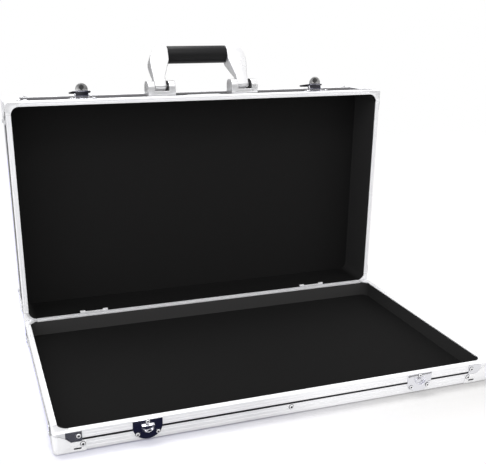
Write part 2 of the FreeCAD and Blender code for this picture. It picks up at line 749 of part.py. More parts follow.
def latch_lever(label, side):
    """Half round lever on its barrel, with the lock's hole in the middle of the disc."""
    body = new_body(label)
    disc = new_sketch(body, "XY", lift="-lever_thick / 2")
    half = "lever_wide / 2"
    draw(disc, [(half, "0"), ("-" + half, "0"), ("-" + half, "-(lever_long - %s)" % half),
                ("0", "-lever_long", half), (half, "-(lever_long - %s)" % half, half)])
    pad(body, disc, "lever_thick")
    for centre in ("0", "-bail_arm"):
        barrel = new_sketch(body, "YZ")
        draw_circle(barrel, centre, "0", "lever_barrel")
        pad(body, barrel, "lever_wide", middle=True)
    web = new_sketch(body, "YZ")
    draw(web, rectangle("-bail_arm", "-lever_barrel", "0", "lever_barrel"))
    pad(body, web, "lever_wide", middle=True)
    bore(body, "YZ", "0", "0", "lever_pin_radius + pin_clearance", "lever_wide + overrun")
    for sign in ("", "-"):
        bore(body, "YZ", "-bail_arm", "0", "wire_radius + pin_clearance", "2 * (bail_end_in + ear_gap)",
             lift="%slever_wide / 2" % sign)
    bore(body, "XY", "0", "-lock_down", "lock_radius + lock_clearance", "lever_thick + overrun")
    return seat(body, lever_frame(side))


def lock_plug(label, side):
    """Lock plug: a flanged face with a key slot outside the lever and a tongue under it."""
    body = new_body(label)
    barrel = new_sketch(body, "XY", lift="-lever_thick / 2 - tongue_thick")
    draw_circle(barrel, "0", "0", "lock_radius")
    pad(body, barrel, "lever_thick + tongue_thick + lock_flange + pin_clearance")
    flange = new_sketch(body, "XY", lift="lever_thick / 2 + pin_clearance")
    draw_circle(flange, "0", "0", "lock_radius + lock_flange")
    pad(body, flange, "lock_flange")
    tongue = new_sketch(body, "XY", lift="-lever_thick / 2 - pin_clearance")
    draw(tongue, rectangle("-tongue_wide / 2", "-tongue_long / 2", "tongue_wide / 2", "tongue_long / 2"))
    pad(body, tongue, "tongue_thick - pin_clearance", back=True)
    slot = new_sketch(body, "XY", lift="lever_thick / 2 + pin_clearance + lock_flange")
    draw(slot, rectangle("-key_slot_wide / 2", "-key_slot_long / 2", "key_slot_wide / 2", "key_slot_long / 2"))
    pocket(body, slot, "lock_flange + lever_thick / 2")
    return seat(body, lever_frame(side) + " * " + place(y="-lock_down"))


def bail_reach():
    """From the bail's pivot to the middle of its end, hooked under the collar with its clearance."""
    return worth("lever_pivot_up - bail_arm + rim_gap + collar_top + collar_side + collar_bow"
                 " + wire_radius + bail_clearance")


def bail(label, side):
    """Wire loop: two flared legs, a pointed end, and two turned in ends that sit in the lever."""
    slant = math.radians(worth("bail_slant_angle"))
    flare = worth("bail_flare")
    tip = bail_reach() + worth("bail_tip_round") * (1 / math.cos(slant) - 1)
    corner = tip - flare * math.tan(slant)
    inner = worth("lever_wide / 2 - bail_end_in")
    half = worth("bail_half")
    bend = worth("bail_bend")
    points = [(-inner, 0), (-half, 0), (-flare, -corner), (0, -tip), (flare, -corner), (half, 0), (inner, 0)]
    bends = [bend, bend, worth("bail_tip_round"), bend, bend]
    wire = bent_wire([vector(x, y, 0) for x, y in points], bends, worth("wire_radius"))
    frame = lever_frame(side) + " * " + place(y="-bail_arm", axis=(1, 0, 0), turn="-bail_back_angle")
    return seat(made(label, wire), frame)


def bent_wire(points, bends, radius):
    """A round wire along straight runs joined by tangent bends."""
    edges = []
    last = points[0]
    for before, corner, after, bend in zip(points, points[1:], points[2:], bends):
        inward = (before - corner).normalize()
        outward = (after - corner).normalize()
        half_turn = (math.pi - inward.getAngle(outward)) / 2
        start = corner + inward * bend * math.tan(half_turn)
        end = corner + outward * bend * math.tan(half_turn)
        middle = (inward + outward).normalize() * bend * (1 / math.cos(half_turn) - 1) + corner
        edges += [Part.makeLine(last, start), Part.Arc(start, middle, end).toShape()]
        last = end
    edges.append(Part.makeLine(last, points[-1]))
    return Part.Wire(edges).makePipeShell([ring(points[0], points[1] - points[0], radius)], True, True)


def lever_pins():
    pins = []
    long = "lever_wide + 2 * ear_gap + 2 * ear_thick"
    for side in ("", "-"):
        pin = doc.addObject("Part::Cylinder", "LeverPin")
        bind(pin, "Radius", "lever_pin_radius")
        bind(pin, "Height", long)
        seat(pin, lid_face(latch_x(side)) + " * "
             + place(x="-(%s) / 2" % long, y="lever_pivot_up", z="lever_pivot_out", axis=(0, 1, 0), turn="90"))
        pins.append(pin)
    return gathered("lever_pins", pins)


# Handle

def handle_x(side):
    return side + "(grip_long / 2 + arm_reach)"


def handle_bracket(label, side):
    """Cast housing on the lid: two round topped cheeks, with a low lip before and behind the handle's foot."""
    low = "(handle_up - housing_deep / 2)"
    high = "(handle_up + housing_deep / 2)"
    top = "(housing_high - skin_thick)"
    shoulder = "(%s - ear_top_round)" % top
    corners = [(low, "-skin_thick"), (high, "-skin_thick"), (high, shoulder),
               (high + " - ear_top_round", top, "ear_top_round"), (low + " + ear_top_round", top),
               (low, shoulder, "ear_top_round")]
    body = outlined(label, "YZ", corners, "housing_wide", middle=True)
    roof = "(housing_high + overrun)"
    cut_outline(body, "YZ", rectangle("%s - overrun" % low, "slot_lip", "%s + overrun" % high, roof),
                "slot_wide")
    cut_outline(body, "YZ", rectangle("%s + lip_thick" % low, "slot_floor", "%s - lip_thick" % high, roof),
                "slot_wide")
    bore(body, "YZ", "handle_up", "handle_out", "handle_pin_radius + pin_clearance",
         "housing_wide - 2 * cheek_cover")
    return seat(body, lid_face(handle_x(side)))


def name_plate():
    """Plain thin plate on the panel between the two housings."""
    half = "name_plate_wide / 2"
    low = "name_plate_up"
    high = "name_plate_up + name_plate_high"
    corners = [("-" + half, low), (half + " - name_plate_lean", low), (half, high),
               ("-%s + name_plate_lean" % half, high)]
    body = outlined("handle_plate", "XY", corners, "name_plate_thick", lift="-skin_thick")
    return seat(body, lid_face("0"))


def handle_frame():
    return (lid_face("0") + " * "
            + place(y="handle_up", z="handle_out", axis=(1, 0, 0), turn="-handle_lean_angle"))


def handle_arm(label, side):
    """Cast arm: a round foot on the pin, a crown that curves over to the grip, and a collar at its end."""
    middle = "(grip_long / 2 + arm_reach)"
    top = "(grip_up + grip_radius + arm_collar)"
    under = "(grip_up - grip_radius - arm_collar)"
    inner = middle + " - arm_foot / 2"
    outer = middle + " + arm_foot / 2"
    outline = [(inner, "-arm_foot_radius"), (outer, "-arm_foot_radius"), (outer, "arm_neck_up"),
               (middle + " + arm_out", "arm_bulge_up", "arm_neck_round"),
               (middle + " - arm_shoulder", top, "arm_crown_round"),
               ("grip_long / 2", top), ("grip_long / 2", under), (inner, "arm_inner_up")]
    if side == "-":
        outline = [mirrored(corner) for corner in reversed_arcs(outline)]
    body = new_body(label)
    front = new_sketch(body, "XZ")
    draw(front, outline)
    pad(body, front, "2 * (grip_radius + arm_collar)", middle=True)
    around = new_sketch(body, "YZ")
    reach = "(grip_radius + arm_collar + overrun)"
    draw(around, rectangle("-" + reach, "-arm_foot_radius - overrun", reach, top + " + overrun"))
    draw(around, arm_profile())
    pocket(body, around, "2 * grip_long + 4 * arm_reach", middle=True)
    bore(body, "YZ", "0", "0", "handle_pin_radius + pin_clearance", "2 * grip_long + 4 * arm_reach")
    return seat(body, handle_frame())


def arm_profile():
    """The arm from its side: round about the pin, wider upwards, and round about the grip."""
    foot = "arm_foot_radius"
    head = "(grip_radius + arm_collar)"
    return [("-" + foot, "0"), ("0", "-" + foot, foot), (foot, "0", foot), (foot, "arm_inner_up"),
            (head, "grip_up"), ("0", "grip_up + " + head, head), ("-" + head, "grip_up", head),
            ("-" + foot, "arm_inner_up")]


def mirrored(corner):
    flipped_x = "-(%s)" % corner[0]
    if len(corner) == 3:
        return (flipped_x, corner[1], corner[2])
    return (flipped_x, corner[1])


def reversed_arcs(outline):
    """The outline drawn the other way round, each arc still between the same two corners."""
    count = len(outline)
    result = []
    for index in range(count):
        corner = outline[-1 - index]
        after = outline[(count - index) % count]
        result.append(corner[:2] + after[2:] if len(after) == 3 else corner[:2])
    return result


def handle_grip():
    """Moulded sleeve over the core rod, its ends bevelled."""
    body = new_body("handle_grip")
    section = new_sketch(body, "XZ")
    half = "grip_long / 2"
    skin = "grip_up + grip_radius"
    draw(section, [("-" + half, "grip_up + core_radius"), (half, "grip_up + core_radius"),
                   (half, skin + " - grip_end_bevel"), (half + " - grip_end_bevel", skin),
                   ("-%s + grip_end_bevel" % half, skin), ("-" + half, skin + " - grip_end_bevel")])
    turn = body.newObject("PartDesign::Revolution", "Turn")
    turn.Profile = section
    axis = body.newObject("PartDesign::Line", "GripLine")
    bind(axis, "Placement", place(z="grip_up", axis=(0, 1, 0), turn="90"))
    turn.ReferenceAxis = (axis, [""])
    return seat(body, handle_frame())


def handle_core():
    rod = doc.addObject("Part::Cylinder", "HandleCore")
    rod.Label = "handle_core"
    bind(rod, "Radius", "core_radius")
    bind(rod, "Height", "grip_long")
    return seat(rod, handle_frame() + " * " + place(x="-grip_long / 2", z="grip_up", axis=(0, 1, 0), turn="90"))


def handle_pins():
    pins = []
    long = "(housing_wide - 2 * cheek_cover)"
    for side in ("", "-"):
        pin = doc.addObject("Part::Cylinder", "HandlePin")
        bind(pin, "Radius", "handle_pin_radius")
        bind(pin, "Height", long)
        seat(pin, lid_face(handle_x(side)) + " * "
             + place(x="-%s / 2" % long, y="handle_up", z="handle_out", axis=(0, 1, 0), turn="90"))
        pins.append(pin)
    return gathered("handle_pins", pins)


# The tray, the lid and the fittings

def shell(name, high, half):
    """Boards, linings, bars and corner metal of one half of the case."""
    base = "floor" if name == "tray" else "top"
    walls = {}
    rims = {}
    for side in SIDES:
        word = "%s_%s" % (name, shown(name, side))
        rims[side] = rim_bar(word + "_rim", half, side)
        if side in ("front", "back"):
            walls[side] = seat(long_wall(word + "_wall", high, side == "front"), half)
        else:
            walls[side] = seat(short_wall(word + "_wall", high, side == "left"), half)
    lining = seat(wall_lining(name + "_wall_lining", high), half)
    if name == "tray":
        hinge_notch(walls["back"])
        hinge_notch(lining)
        notch_rim(rims["back"])
    long_edges = [edge_bar(side, high) for side in ("front", "back")]
    short_edges = [edge_bar(side, high) for side in ("left", "right")]
    return (list(walls.values()) + list(rims.values())
            + [lining, seat(floor_board("%s_%s_board" % (name, base), high), half),
               seat(floor_lining("%s_%s_lining" % (name, base), high), half),
               seat(gathered(name + "_long_edges", long_edges), half),
               seat(gathered(name + "_short_edges", short_edges), half),
               rim_bracket(name + "_rim_brackets", half), edge_cap(name + "_corner_caps", high, half)])


def shown(name, side):
    """The side's name as seen on the open case: the lid is turned over, so its ends change places."""
    if name == "lid" and side in ("left", "right"):
        return "left" if side == "right" else "right"
    return side


def notch_rim(body):
    """The same room in the back rim bar, squared so that the lid's leaf can swing through its flange."""
    room = "(barrel_radius + barrel_clearance)"
    window = rectangle("-hinge_inset - " + room, "-hinge_drop - " + room,
                       "overrun", "-hinge_drop + " + room)
    for side in ("", "-"):
        cut_outline(body, "YZ", window, "hinge_wide + 2 * barrel_clearance", lift=hinge_x(side))


pieces = shell("tray", "tray_high", TRAY) + shell("lid", "lid_high", LID)
pieces.append(corner_posts())
pieces += [tray_rivets(), lid_rivets(), hinge_pins(), hinge_stops(), lever_pins(), handle_pins()]
for word, side in (("left", "-"), ("right", "")):
    pieces.append(lower_leaf(word + "_hinge_lower_leaf", side))
    pieces.append(upper_leaf(word + "_hinge_upper_leaf", side))
    pieces.append(keeper(word + "_keeper", side))
    pieces.append(latch_base(word + "_latch_base", side))
    pieces.append(latch_lever(word + "_latch_lever", side))
    pieces.append(lock_plug(word + "_lock_plug", side))
    pieces.append(bail(word + "_latch_bail", side))
    pieces.append(handle_bracket(word + "_handle_bracket", side))
    pieces.append(handle_arm(word + "_handle_arm", side))
pieces += [name_plate(), handle_grip(), handle_core()]

doc.recompute()

for thing in doc.Objects:
    if "Invalid" in thing.State or "Error" in thing.State:
        raise RuntimeError("%s (%s) did not build: %s" % (thing.Name, thing.Label, thing.State))
for piece in pieces:
    if piece.Shape.isNull() or not piece.Shape.isValid():
        raise RuntimeError("%s has no sound shape" % piece.Label)

os.makedirs("parts", exist_ok=True)
for piece in pieces:
    piece.Shape.exportStep(os.path.join("parts", piece.Label + ".step"))
print(len(pieces), "pieces written")
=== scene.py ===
import json
import math

import bpy
from mathutils import Matrix, Vector


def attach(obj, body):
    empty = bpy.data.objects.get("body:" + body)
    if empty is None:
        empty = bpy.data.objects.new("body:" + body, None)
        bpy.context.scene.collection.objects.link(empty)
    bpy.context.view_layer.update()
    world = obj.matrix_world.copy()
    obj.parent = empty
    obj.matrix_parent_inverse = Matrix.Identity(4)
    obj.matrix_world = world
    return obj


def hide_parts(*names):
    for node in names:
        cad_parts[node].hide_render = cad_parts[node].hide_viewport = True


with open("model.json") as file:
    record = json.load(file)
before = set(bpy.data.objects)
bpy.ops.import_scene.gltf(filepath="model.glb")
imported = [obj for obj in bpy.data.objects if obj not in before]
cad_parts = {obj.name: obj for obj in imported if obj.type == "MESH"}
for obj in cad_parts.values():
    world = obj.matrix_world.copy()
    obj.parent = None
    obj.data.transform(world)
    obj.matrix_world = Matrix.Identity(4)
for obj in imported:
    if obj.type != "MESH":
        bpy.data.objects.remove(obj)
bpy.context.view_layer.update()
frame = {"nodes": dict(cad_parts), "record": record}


# The photographer's view of the open case, from the front left and a little above it.
# Its place, angles and lens were solved from the edges of both rims in the photo, in metres and
# degrees. The photo is a crop, so the lens axis lies off its middle, and a small shift makes that up.

CAMERA_SPOT = Vector((-0.3635, -0.97096, 0.4998))
CAMERA_YAW = 19.04
CAMERA_PITCH = 20.75
CAMERA_ROLL = -0.48
PICTURE_WIDTH = 486
PICTURE_HEIGHT = 464
FOCAL_PIXELS = 747.55
LENS_AXIS_PIXEL = (218.0, 281.4)
SENSOR = 36.0
NEAREST_SEEN = 0.01

yaw, pitch, roll = (math.radians(angle) for angle in (CAMERA_YAW, CAMERA_PITCH, CAMERA_ROLL))
forward = Vector((math.sin(yaw) * math.cos(pitch), math.cos(yaw) * math.cos(pitch), -math.sin(pitch)))
level_right = Vector((math.cos(yaw), -math.sin(yaw), 0))
level_down = forward.cross(level_right)
right = level_right * math.cos(roll) + level_down * math.sin(roll)
down = level_down * math.cos(roll) - level_right * math.sin(roll)
camera_data = bpy.data.cameras.new("photo_view")
camera_data.sensor_width = SENSOR
camera_data.lens = FOCAL_PIXELS / PICTURE_WIDTH * SENSOR
camera_data.shift_x = (PICTURE_WIDTH / 2 - LENS_AXIS_PIXEL[0]) / PICTURE_WIDTH
camera_data.shift_y = (LENS_AXIS_PIXEL[1] - PICTURE_HEIGHT / 2) / PICTURE_WIDTH
camera_data.clip_start = NEAREST_SEEN
camera = bpy.data.objects.new("photo_view", camera_data)
camera.matrix_world = Matrix((right, -down, -forward)).transposed().to_4x4()
camera.matrix_world.translation = CAMERA_SPOT
bpy.context.scene.collection.objects.link(camera)
bpy.context.scene.camera = camera
bpy.context.scene.view_settings.view_transform = "Standard"


# The case stands on a sheet of white card. The lens sees it glow pure white, except close in front of
# the case, where the plain card takes a soft shadow. That shadow is deepened by painted shade, the card
# being painted darker at the right, and it is tinted by a painted blue from the glow at the left.
# Polished metal sees a painted reflection: to glossy rays alone the card glows white with a dark patch
# in front of the case's left half, so the plates there look near black.

def new_material(name):
    """A material with one Principled shader: gives the material, its node tree and the shader."""
    material = bpy.data.materials.new(name)
    material.use_nodes = True
    shader = material.node_tree.nodes["Principled BSDF"]
    return material, material.node_tree, shader


def node_of(tree, kind, **settings):
    """A new node with its settings."""
    node = tree.nodes.new(kind)
    for key, value in settings.items():
        setattr(node, key, value)
    return node


def feed(tree, value, socket):
    """Gives a socket a number, a colour or another node's output."""
    if isinstance(value, bpy.types.NodeSocket):
        tree.links.new(value, socket)
    elif isinstance(value, tuple):
        socket.default_value = (*value, 1)
    else:
        socket.default_value = value


def maths(tree, operation, *values):
    """The result of one Math node on numbers or other nodes' outputs."""
    node = node_of(tree, "ShaderNodeMath", operation=operation)
    for value, socket in zip(values, node.inputs):
        feed(tree, value, socket)
    return node.outputs[0]


def ramp(tree, source, low, high, low_out=0.0, high_out=1.0):
    """Maps a value from low..high to low_out..high_out and holds it there beyond both ends."""
    step = node_of(tree, "ShaderNodeMapRange")
    for label, value in (("From Min", low), ("From Max", high), ("To Min", low_out), ("To Max", high_out)):
        step.inputs[label].default_value = value
    feed(tree, source, step.inputs["Value"])
    return step.outputs["Result"]


def mixed(tree, mask, first, second):
    """A colour between two colours or other nodes' outputs by a mask."""
    # The Mix node has sockets of the same names for every type of value, so they go by number.
    mix = node_of(tree, "ShaderNodeMix", data_type="RGBA")
    feed(tree, mask, mix.inputs[0])
    feed(tree, first, mix.inputs[6])
    feed(tree, second, mix.inputs[7])
    return mix.outputs[2]


def mixed_light(tree, mask, first, second):
    """One shader or the other by a mask."""
    mix = node_of(tree, "ShaderNodeMixShader")
    feed(tree, mask, mix.inputs["Fac"])
    feed(tree, first, mix.inputs[1])
    feed(tree, second, mix.inputs[2])
    return mix.outputs[0]


def glowing(tree, colour):
    """Light of its own in a colour."""
    glow = node_of(tree, "ShaderNodeEmission")
    feed(tree, colour, glow.inputs["Color"])
    return glow.outputs[0]


CARD_SIZE = 3.2
CARD_DROP = 0.0003
CARD_LEFT = (0.68, 0.68, 0.69)
CARD_RIGHT_PAINTED_SHADE = (0.55, 0.545, 0.54)
CARD_TURNS = (-0.3, 0.3)
GLOW_LEFT_PAINTED_BLUE = (1.02, 1.02, 1.6)
GLOW_RIGHT = (1.03, 1.02, 1.02)
GLOW_TURNS = (-0.2, 0.15)
GLOW_IN_SHADOW = 0.1
BEFORE_CASE = (-0.24, -0.30)
BEHIND_FRONT = (-0.20, -0.05)
BESIDE_CASE = (0.305, 0.345)
MIRRORED_CARD = (0.95, 0.95, 0.95)
PAINTED_DARK_REFLECTION = (0.012, 0.013, 0.032)
REFLECTION_PATCH_RIGHT_END = (0.06, -0.04)
REFLECTION_PATCH_LEFT_END = (-0.34, -0.30)
REFLECTION_PATCH_FRONT_END = (-0.60, -0.45)

bpy.ops.object.select_all(action="DESELECT")
bpy.ops.mesh.primitive_plane_add(size=CARD_SIZE, location=(0, 0, -CARD_DROP))
table = bpy.context.object
table.name = "table"
card, tree, shader = new_material("white_card")
place = node_of(tree, "ShaderNodeTexCoord")
split = node_of(tree, "ShaderNodeSeparateXYZ")
path = node_of(tree, "ShaderNodeLightPath")
feed(tree, place.outputs["Object"], split.inputs[0])
sideways = split.outputs["X"]
backwards = split.outputs["Y"]
# Painted shade: the card's colour is darker at the right, which deepens the shadow in front of the case's
# right half.
feed(tree, mixed(tree, ramp(tree, sideways, *CARD_TURNS), CARD_LEFT, CARD_RIGHT_PAINTED_SHADE),
     shader.inputs["Base Color"])
shader.inputs["Roughness"].default_value = 0.7
shader.inputs["Specular IOR Level"].default_value = 0.05

before = ramp(tree, backwards, *BEFORE_CASE, GLOW_IN_SHADOW, 1.0)
behind = ramp(tree, backwards, *BEHIND_FRONT, GLOW_IN_SHADOW, 1.0)
beside = ramp(tree, maths(tree, "ABSOLUTE", sideways), *BESIDE_CASE, GLOW_IN_SHADOW, 1.0)
share = maths(tree, "MAXIMUM", maths(tree, "MAXIMUM", before, behind), beside)
# Painted blue: where the glow is mixed into the shadow, its blue at the left tints that shadow bluish; seen
# in full it is white.
glow = glowing(tree, mixed(tree, ramp(tree, sideways, *GLOW_TURNS), GLOW_LEFT_PAINTED_BLUE, GLOW_RIGHT))
seen = mixed_light(tree, maths(tree, "MULTIPLY", path.outputs["Is Camera Ray"], share),
                   shader.outputs[0], glow)

# Painted reflection: glossy rays alone see the card glow white with a dark patch in front of the case's
# left half.
patch = maths(tree, "MULTIPLY", ramp(tree, sideways, *REFLECTION_PATCH_RIGHT_END),
              ramp(tree, sideways, *REFLECTION_PATCH_LEFT_END))
patch = maths(tree, "MULTIPLY", patch, ramp(tree, backwards, *REFLECTION_PATCH_FRONT_END))
mirrored = glowing(tree, mixed(tree, patch, MIRRORED_CARD, PAINTED_DARK_REFLECTION))
feed(tree, mixed_light(tree, path.outputs["Is Glossy Ray"], seen, mirrored),
     tree.nodes["Material Output"].inputs["Surface"])
table.data.materials.append(card)


# The room gives the case an even white light and the lens a pure white behind it.
# Polished metal mirrors it dim near the table and white overhead.

ROOM_LIGHT = 0.95
DIM_LOW_DOWN = 0.22
DIM_TO_WHITE = (0.05, 0.4)


def between(tree, mask, first, second):
    """A value between two numbers or other nodes' outputs by a mask."""
    mix = node_of(tree, "ShaderNodeMix", data_type="FLOAT")
    feed(tree, mask, mix.inputs[0])
    feed(tree, first, mix.inputs[2])
    feed(tree, second, mix.inputs[3])
    return mix.outputs[0]


world = bpy.data.worlds.new("white_room")
world.use_nodes = True
bpy.context.scene.world = world
tree = world.node_tree
path = node_of(tree, "ShaderNodeLightPath")
direction = node_of(tree, "ShaderNodeTexCoord")
split = node_of(tree, "ShaderNodeSeparateXYZ")
feed(tree, direction.outputs["Generated"], split.inputs[0])
overhead = ramp(tree, split.outputs["Z"], *DIM_TO_WHITE, DIM_LOW_DOWN, 1.0)
mirrored = between(tree, path.outputs["Is Glossy Ray"], ROOM_LIGHT, overhead)
background = tree.nodes["Background"]
feed(tree, between(tree, path.outputs["Is Camera Ray"], mirrored, 1.0), background.inputs["Strength"])
background.inputs["Color"].default_value = (1, 1, 1, 1)


# Four soft boxes: the main light is a large one above and behind the lid, and three weaker ones
# stand in front, bluish at the left and warm at the right. Places and sizes are in metres.

def soft_box(name, spot, aim, size, watts, tint=(1, 1, 1)):
    """A rectangular lamp at a spot, turned to its aim."""
    lamp = bpy.data.lights.new(name, "AREA")
    lamp.shape = "RECTANGLE"
    lamp.size, lamp.size_y = size
    lamp.energy = watts
    lamp.color = tint
    holder = bpy.data.objects.new(name, lamp)
    holder.location = spot
    holder.rotation_euler = (Vector(aim) - Vector(spot)).to_track_quat("-Z", "Y").to_euler()
    bpy.context.scene.collection.objects.link(holder)


soft_box("top_box", (-0.3, 0.5, 1.8), (0, -0.1, 0.1), (1.3, 0.6), watts=26)
soft_box("left_box", (-1.8, -0.9, 1.0), (0, 0, 0.1), (1.0, 1.2), watts=6, tint=(0.93, 0.94, 1.0))
soft_box("front_box", (0.1, -1.3, 1.9), (0, 0.1, 0.1), (1.0, 0.6), watts=8)
soft_box("right_box", (1.6, -1.3, 0.9), (0, 0, 0.1), (0.8, 1.0), watts=3, tint=(1.0, 0.97, 0.94))


# The boards are thin plywood faced with black laminate that has a fine pebble grain.
# They are cut square and gripped by the aluminium bars, so only their outside faces show.

PEBBLES_PER_METRE = 900
PEBBLE_MIDDLE = (0.050, 0.048, 0.054)
PEBBLE_BORDER = (0.020, 0.019, 0.022)
PEBBLE_DEPTH = 0.0004
PEBBLE_STRENGTH = 0.35
LAMINATE_ROUGHNESS = (0.42, 0.56)
PATCH_EDGES = (0.35, 0.68)

nodes = frame["nodes"]


def effect_group(name, output, **inputs):
    """An empty shader node group: named inputs with their usual values, and one named output."""
    group = bpy.data.node_groups.new(name, "ShaderNodeTree")
    for label, value in inputs.items():
        socket = group.interface.new_socket(label, in_out="INPUT", socket_type="NodeSocketFloat")
        socket.default_value = value
    group.interface.new_socket(output, in_out="OUTPUT", socket_type="NodeSocketFloat")
    return group, group.nodes.new("NodeGroupInput"), group.nodes.new("NodeGroupOutput")


def placed(tree, group, **inputs):
    """An effect set into a material with its own values: gives its output."""
    node = node_of(tree, "ShaderNodeGroup", node_tree=group)
    for label, value in inputs.items():
        node.inputs[label].default_value = value
    return node.outputs[0]


def object_noise(tree, scale, detail=2.0, stretch=(1, 1, 1)):
    """Noise on Object coordinates; stretch is how much finer it is along each axis."""
    coordinates = node_of(tree, "ShaderNodeTexCoord")
    mapping = node_of(tree, "ShaderNodeMapping")
    noise = node_of(tree, "ShaderNodeTexNoise")
    feed(tree, coordinates.outputs["Object"], mapping.inputs["Vector"])
    mapping.inputs["Scale"].default_value = stretch
    feed(tree, mapping.outputs["Vector"], noise.inputs["Vector"])
    feed(tree, scale, noise.inputs["Scale"])
    noise.inputs["Detail"].default_value = detail
    return noise.outputs["Fac"]


def smudge_group():
    """Smudges: slow soft patches, for roughness and small changes of colour."""
    group, start, end = effect_group("smudges", "Patches", Scale=9.0)
    noise = object_noise(group, start.outputs["Scale"], detail=4)
    feed(group, ramp(group, noise, *PATCH_EDGES), end.inputs["Patches"])
    return group


def bump(tree, height, strength, depth, shader):
    """Fine relief on the whole surface."""
    relief = node_of(tree, "ShaderNodeBump")
    relief.inputs["Strength"].default_value = strength
    relief.inputs["Distance"].default_value = depth
    feed(tree, height, relief.inputs["Height"])
    feed(tree, relief.outputs["Normal"], shader.inputs["Normal"])


def laminate():
    """Black laminate: pebble grain in relief, a little greyer in the pebbles, duller in patches."""
    material, tree, shader = new_material("black_laminate")
    coordinates = node_of(tree, "ShaderNodeTexCoord")
    cells = node_of(tree, "ShaderNodeTexVoronoi", feature="SMOOTH_F1")
    cells.inputs["Scale"].default_value = PEBBLES_PER_METRE
    feed(tree, coordinates.outputs["Object"], cells.inputs["Vector"])
    feed(tree, mixed(tree, cells.outputs["Distance"], PEBBLE_MIDDLE, PEBBLE_BORDER),
         shader.inputs["Base Color"])
    feed(tree, ramp(tree, placed(tree, SMUDGES, Scale=7), 0, 1, *LAMINATE_ROUGHNESS),
         shader.inputs["Roughness"])
    shader.inputs["Specular IOR Level"].default_value = 0.12
    bump(tree, cells.outputs["Distance"], PEBBLE_STRENGTH, PEBBLE_DEPTH, shader)
    return material


def paint(names, material):
    """Gives the material to CAD nodes and keeps their meshes as they are."""
    for name in names:
        mesh = nodes[name].data
        mesh.materials.clear()
        mesh.materials.append(material)


SMUDGES = smudge_group()
paint([name for name in nodes if name.endswith(("_wall", "_board"))], laminate())


# The inside is lined with a thin black napped cloth, glued to the boards.
# It runs up the walls to the underside of the rim and over the floor of each half.

FIBRES_PER_METRE = 1500
FIBRE_DEPTH = 0.0004
FIBRE_STRENGTH = 0.5
GROUND_TINT = Vector((1, 1, 1.05))
FIBRE_TINT = Vector((2.5, 2.45, 2.4))
CLOTH_ROUGHNESS = (0.9, 0.99)


def napped_cloth(name, shade, side_painted_tone=None):
    """Matt black cloth: fine fibres over a darker ground, with painted light and shade on the side walls.
    """
    material, tree, shader = new_material(name)
    fibres = object_noise(tree, FIBRES_PER_METRE, detail=3)
    plain, side = (mixed(tree, fibres, tuple(GROUND_TINT * amount), tuple(FIBRE_TINT * amount))
                   for amount in (shade, side_painted_tone or shade))
    facing = node_of(tree, "ShaderNodeTexCoord")
    split = node_of(tree, "ShaderNodeSeparateXYZ")
    feed(tree, facing.outputs["Normal"], split.inputs[0])
    # Painted light and shade: faces turned along X take the side tone instead of the plain one.
    feed(tree, mixed(tree, maths(tree, "ABSOLUTE", split.outputs["X"]), plain, side),
         shader.inputs["Base Color"])
    feed(tree, ramp(tree, placed(tree, SMUDGES, Scale=5), 0, 1, *CLOTH_ROUGHNESS),
         shader.inputs["Roughness"])
    shader.inputs["Specular IOR Level"].default_value = 0.05
    shader.inputs["Sheen Weight"].default_value = 0.02
    shader.inputs["Sheen Roughness"].default_value = 0.5
    bump(tree, fibres, FIBRE_STRENGTH, FIBRE_DEPTH, shader)
    return material


# One cloth painted in four brightnesses, as painted light and shade: the tray's walls much lighter, the
# lid's lining lighter than the tray's floor, the lid's walls darker, and side walls a tone of their own.
paint(["tray_floor_lining"], napped_cloth("floor_fabric", 0.0031))
paint(["tray_wall_lining"], napped_cloth("tray_wall_fabric_painted_light", 0.026, side_painted_tone=0.014))
paint(["lid_top_lining"], napped_cloth("lid_fabric_painted_light", 0.0069))
paint(["lid_wall_lining"], napped_cloth("lid_wall_fabric_painted_light_and_shade", 0.0022, side_painted_tone=0.016))


# Drawn aluminium bars, satin anodised and riveted on: a grooved rim bar over the free edge of each
# wall, a ribbed L bar round the outer edge of each half, and plain angle posts up the lid's corners.
# A band of painted shade darkens the bars along the seam between the tray's rim bar and L bar, at the
# heights in SEAM.

SEAM = (0.0157, 0.0184)
SEAM_SOFTNESS = 0.0001
SEAM_PAINTED_SHADE = (0.008, 0.008, 0.010)
ANODISED = (0.86, 0.86, 0.88)
RUBBED_ALUMINIUM = (0.96, 0.96, 0.97)
PATCHES_RUBBED = 0.5
LINES_ACROSS = 2200.0
LINES_ALONG = 12.0
LINE_DEPTH = 0.00008
LINE_STRENGTH = 0.12
LINE_CONTRAST = (0.3, 0.7)
ALUMINIUM_ROUGHNESS = (0.32, 0.46)
EDGE_LIKENESS = (0.99, 0.8)
WEAR_BREAKS = (0.35, 0.6)


def edge_wear_group():
    """Edge wear: a mask that is 1 on sharp edges, broken up by noise."""
    group, start, end = effect_group("edge_wear", "Mask", Radius=0.0006, Breakup=90.0)
    rounded = node_of(group, "ShaderNodeBevel", samples=4)
    flat = node_of(group, "ShaderNodeNewGeometry")
    likeness = node_of(group, "ShaderNodeVectorMath", operation="DOT_PRODUCT")
    feed(group, start.outputs["Radius"], rounded.inputs["Radius"])
    feed(group, rounded.outputs["Normal"], likeness.inputs[0])
    feed(group, flat.outputs["Normal"], likeness.inputs[1])
    edge = ramp(group, likeness.outputs["Value"], *EDGE_LIKENESS)
    broken = ramp(group, object_noise(group, start.outputs["Breakup"], detail=3), *WEAR_BREAKS)
    feed(group, maths(group, "MULTIPLY", edge, broken), end.inputs["Mask"])
    return group


